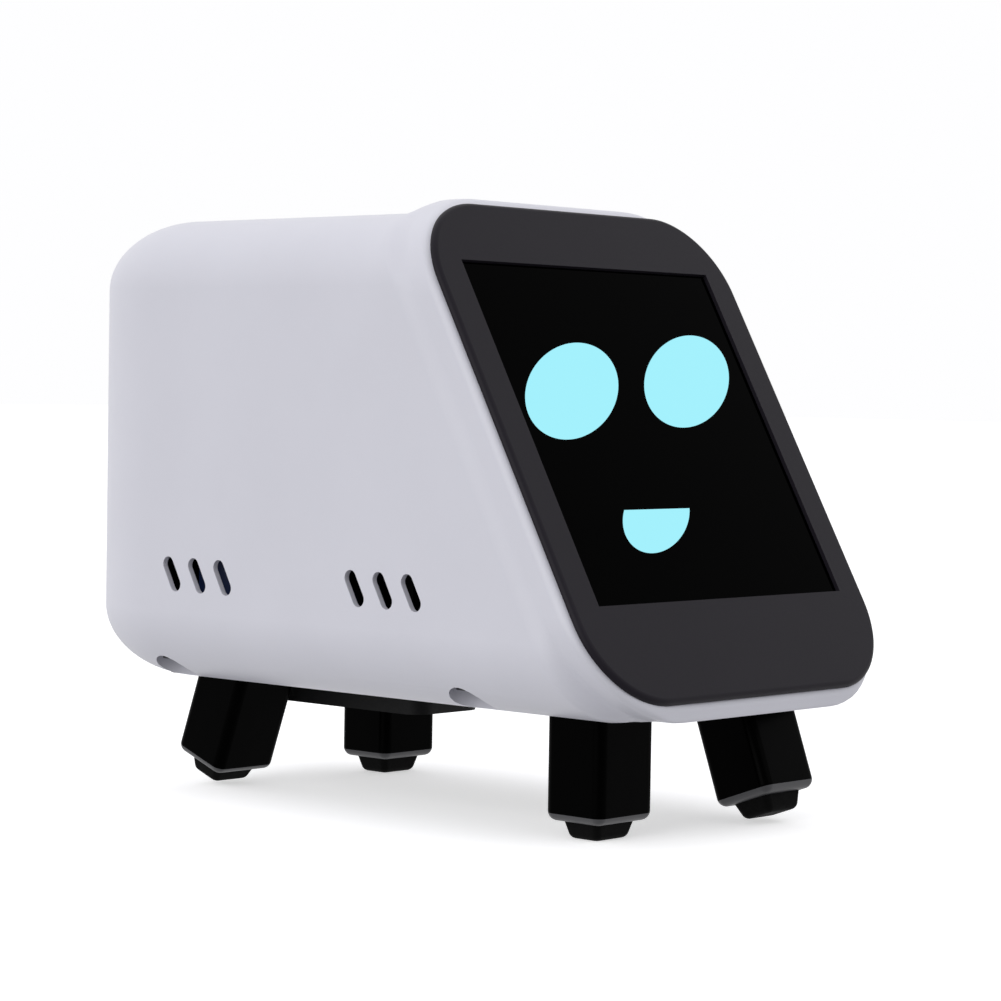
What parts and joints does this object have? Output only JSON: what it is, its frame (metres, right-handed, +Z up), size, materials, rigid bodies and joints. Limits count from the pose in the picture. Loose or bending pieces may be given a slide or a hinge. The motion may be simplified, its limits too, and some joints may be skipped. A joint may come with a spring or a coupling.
{
  "type": "educational coding robot",
  "caption": "Small desk robot: a rounded white shell with a leaning square screen face in a dark bezel, side vents, and short black legs swung by geared servos.",
  "frame": {"origin": "on the ground, below the middle of the robot in its rest pose", "axes": "+Z up, the face looks towards -Y, +X to the robot's own left"},
  "size_m": [0.0628, 0.1016, 0.0828],
  "materials": {
    "shell_abs": "satin moulded",
    "bezel_abs": "satin moulded",
    "screen_glass": "polished black",
    "panel_metal": "stamped",
    "board_green": "solder mask",
    "frame_abs": "fine moulded grain",
    "foam_pad": "foam",
    "battery_film": "shrink film",
    "port_steel": "stamped",
    "button_abs": "satin moulded",
    "screw_steel": "blackened zinc",
    "servo_abs": "satin moulded",
    "axle_steel": "ground",
    "gear_nylon": "moulded",
    "leg_grey": "satin moulded",
    "leg_black": "gloss moulded",
    "foot_rubber": "moulded"
  },
  "bodies": {
    "root": {"main_shell": "shell_abs", "face_bezel": "bezel_abs", "display_glass": "screen_glass", "lcd_panel": "panel_metal", "display_board": "board_green", "servo_frame": "frame_abs", "belly_cover": "frame_abs", "main_board": "board_green", "processor_module": "panel_metal", "battery_pad": "foam_pad", "battery_pack": "battery_film", "usb_socket": "port_steel", "speaker": "frame_abs", "power_switch": "frame_abs", "shell_screws": "screw_steel", "servo_screws": "screw_steel", "board_screws": "screw_steel", "belly_screws": "screw_steel", "servo_front_right": "servo_abs", "servo_front_left": "servo_abs", "servo_rear_right": "servo_abs", "servo_rear_left": "servo_abs"},
    "leg_front_right": {"leg_core_front_right": "leg_grey", "leg_cover_front_right": "leg_black", "foot_front_right": "foot_rubber", "hip_axle_front_right": "axle_steel", "hip_gear_front_right": "gear_nylon"},
    "pinion_front_right": {"drive_pinion_front_right": "gear_nylon", "servo_shaft_front_right": "axle_steel"},
    "leg_front_left": {"leg_core_front_left": "leg_grey", "leg_cover_front_left": "leg_black", "foot_front_left": "foot_rubber", "hip_axle_front_left": "axle_steel", "hip_gear_front_left": "gear_nylon"},
    "pinion_front_left": {"drive_pinion_front_left": "gear_nylon", "servo_shaft_front_left": "axle_steel"},
    "leg_rear_right": {"leg_core_rear_right": "leg_grey", "leg_cover_rear_right": "leg_black", "foot_rear_right": "foot_rubber", "hip_axle_rear_right": "axle_steel", "hip_gear_rear_right": "gear_nylon"},
    "pinion_rear_right": {"drive_pinion_rear_right": "gear_nylon", "servo_shaft_rear_right": "axle_steel"},
    "leg_rear_left": {"leg_core_rear_left": "leg_grey", "leg_cover_rear_left": "leg_black", "foot_rear_left": "foot_rubber", "hip_axle_rear_left": "axle_steel", "hip_gear_rear_left": "gear_nylon"},
    "pinion_rear_left": {"drive_pinion_rear_left": "gear_nylon", "servo_shaft_rear_left": "axle_steel"},
    "button": {"power_button": "button_abs"}
  },
  "joints": [
    {"name": "hip_front_right", "type": "hinge", "parent": "root", "child": "leg_front_right", "pos_m": [-0.014, -0.0354, 0.0194], "axis": [1, 0, 0], "range_deg": [-40, 40]},
    {"name": "servo_front_right", "type": "hinge", "parent": "root", "child": "pinion_front_right", "pos_m": [-0.003, -0.0299, 0.02893], "axis": [1, 0, 0], "range_deg": [-35, 35]},
    {"name": "hip_front_left", "type": "hinge", "parent": "root", "child": "leg_front_left", "pos_m": [0.014, -0.0354, 0.0194], "axis": [1, 0, 0], "range_deg": [-20, 60]},
    {"name": "servo_front_left", "type": "hinge", "parent": "root", "child": "pinion_front_left", "pos_m": [0.003, -0.0299, 0.02893], "axis": [1, 0, 0], "range_deg": [-51, 18]},
    {"name": "hip_rear_right", "type": "hinge", "parent": "root", "child": "leg_rear_right", "pos_m": [-0.014, 0.0302, 0.0194], "axis": [1, 0, 0], "range_deg": [-60, 20]},
    {"name": "servo_rear_right", "type": "hinge", "parent": "root", "child": "pinion_rear_right", "pos_m": [-0.003, 0.0247, 0.02893], "axis": [1, 0, 0], "range_deg": [-18, 51]},
    {"name": "hip_rear_left", "type": "hinge", "parent": "root", "child": "leg_rear_left", "pos_m": [0.014, 0.0302, 0.0194], "axis": [1, 0, 0], "range_deg": [-40, 40]},
    {"name": "servo_rear_left", "type": "hinge", "parent": "root", "child": "pinion_rear_left", "pos_m": [0.003, 0.0247, 0.02893], "axis": [1, 0, 0], "range_deg": [-35, 35]},
    {"name": "power_button_press", "type": "slide", "parent": "root", "child": "button", "axis": [0, -1, 0], "range_m": [0, 0.0008], "stiffness_N_per_m": 300, "springref_m": -0.0005}
  ],
  "couplings": [
    {"joint": "servo_front_right", "follows": "hip_front_right", "ratio": -0.83333},
    {"joint": "servo_front_left", "follows": "hip_front_left", "ratio": -0.83333},
    {"joint": "servo_rear_right", "follows": "hip_rear_right", "ratio": -0.83333},
    {"joint": "servo_rear_left", "follows": "hip_rear_left", "ratio": -0.83333}
  ]
}
